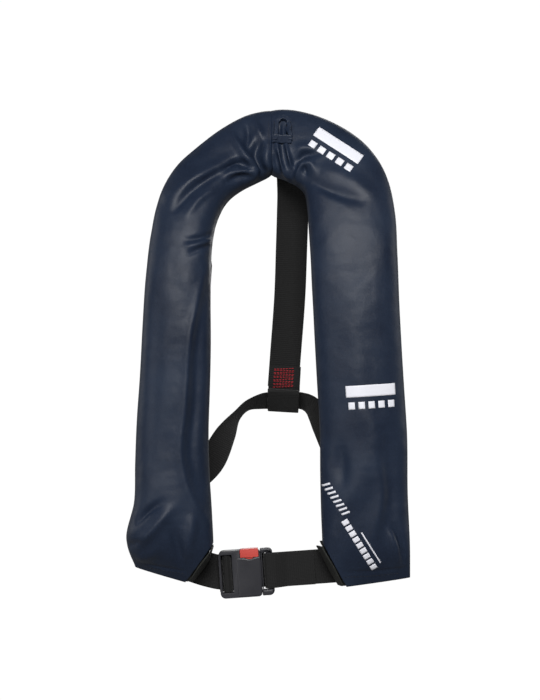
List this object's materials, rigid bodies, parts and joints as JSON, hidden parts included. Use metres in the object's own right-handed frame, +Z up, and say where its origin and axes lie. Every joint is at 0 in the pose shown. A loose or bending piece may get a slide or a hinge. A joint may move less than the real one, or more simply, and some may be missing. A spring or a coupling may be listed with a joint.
{
  "type": "inflatable life jacket",
  "caption": "Worn-shape inflatable life jacket: padded horseshoe cover round a folded bladder, with back strap, waist belt, push-button buckle, gas inflator and mouth tube.",
  "frame": {"origin": "inside the top of the collar, midway, where the jacket hangs on the back of the neck", "axes": "+X to the wearer's left, +Y to the wearer's back, +Z up"},
  "size_m": [0.3215, 0.1802, 0.569],
  "materials": {
    "navy_fabric": "satin nylon, navy",
    "lining_fabric": "matte mesh lining, near black",
    "black_fabric": "coated nylon, charcoal",
    "closure_tape": "hook and loop pile, black",
    "black_webbing": "woven polyester webbing, black",
    "black_plastic": "satin moulded plastic, black",
    "red_plastic": "satin moulded plastic, red",
    "bladder_film": "coated fabric, fluorescent yellow",
    "clear_plastic": "pale moulded plastic",
    "orange_plastic": "moulded plastic, orange",
    "steel": "brushed steel"
  },
  "bodies": {
    "jacket": {"front_cover_left": "navy_fabric", "front_cover_right": "navy_fabric", "hanging_loop": "navy_fabric", "loop_keeper": "navy_fabric", "back_panel_left": "lining_fabric", "back_panel_right": "lining_fabric", "corner_gusset_left": "black_fabric", "corner_gusset_right": "black_fabric", "strap_anchor_patch": "black_fabric", "belt_sleeve_left": "black_fabric", "belt_sleeve_right": "black_fabric", "hook_tape_left": "closure_tape", "hook_tape_right": "closure_tape", "loop_tape_left": "closure_tape", "loop_tape_right": "closure_tape", "back_strap": "black_webbing", "back_strap_ring": "black_webbing", "ring_stitch_pad": "black_webbing", "waist_belt": "black_webbing", "whistle_holder": "black_webbing", "lifting_strap": "black_webbing", "inflator_head": "black_plastic", "mouth_tube": "black_plastic", "water_sensor_cap": "red_plastic", "bladder": "bladder_film", "bladder_valve": "clear_plastic", "mouth_valve_body": "clear_plastic", "whistle": "orange_plastic", "lever_pivot": "steel", "gas_cylinder": "steel"},
    "buckle": {"buckle_housing": "black_plastic", "buckle_face_plate": "black_plastic", "adjuster_bar": "steel", "adjuster_webbing": "black_webbing", "button_spring": "steel"},
    "button": {"release_button": "red_plastic", "lock_plate": "steel"},
    "tongue": {"tongue": "black_plastic", "tongue_webbing": "black_webbing"},
    "lever": {"manual_lever": "clear_plastic"},
    "pin": {"firing_pin": "steel"},
    "pull_tab": {"pull_strap": "black_webbing", "pull_handle": "red_plastic"},
    "dust_cap": {"dust_cap": "black_plastic"},
    "poppet": {"valve_poppet": "red_plastic"}
  },
  "joints": [
    {"name": "belt_adjust", "type": "slide", "parent": "jacket", "child": "buckle", "axis": [0.9976, 0, 0.0698], "range_m": [-0.004, 0.011]},
    {"name": "tongue_release", "type": "slide", "parent": "buckle", "child": "tongue", "axis": [0.9976, 0, 0.0698], "range_m": [0, 0.032]},
    {"name": "button_press", "type": "slide", "parent": "buckle", "child": "button", "axis": [0.0698, 0, -0.9976], "range_m": [0, 0.0035], "stiffness_N_per_m": 900, "springref_m": -0.002, "deforming": ["button_spring"]},
    {"name": "lever_pull", "type": "hinge", "parent": "jacket", "child": "lever", "pos_m": [-0.1235, -0.06, -0.424], "axis": [0, -1, 0], "range_deg": [0, 90]},
    {"name": "pin_stroke", "type": "slide", "parent": "jacket", "child": "pin", "axis": [0, 0, 1], "range_m": [0, 0.004]},
    {"name": "pull_tab_hang", "type": "hinge", "parent": "lever", "child": "pull_tab", "pos_m": [-0.1235, -0.06, -0.408], "axis": [0, -1, 0], "range_deg": [-90, 0]},
    {"name": "dust_cap_off", "type": "slide", "parent": "jacket", "child": "dust_cap", "axis": [0, 0, 1], "range_m": [0, 0.012]},
    {"name": "poppet_press", "type": "slide", "parent": "jacket", "child": "poppet", "axis": [0, 0, -1], "range_m": [0, 0.002], "stiffness_N_per_m": 250, "springref_m": -0.001}
  ],
  "couplings": [
    {"joint": "pin_stroke", "follows": "lever_pull", "m_per_rad": 0.0025465},
    {"joint": "pull_tab_hang", "follows": "lever_pull", "ratio": -1}
  ]
}
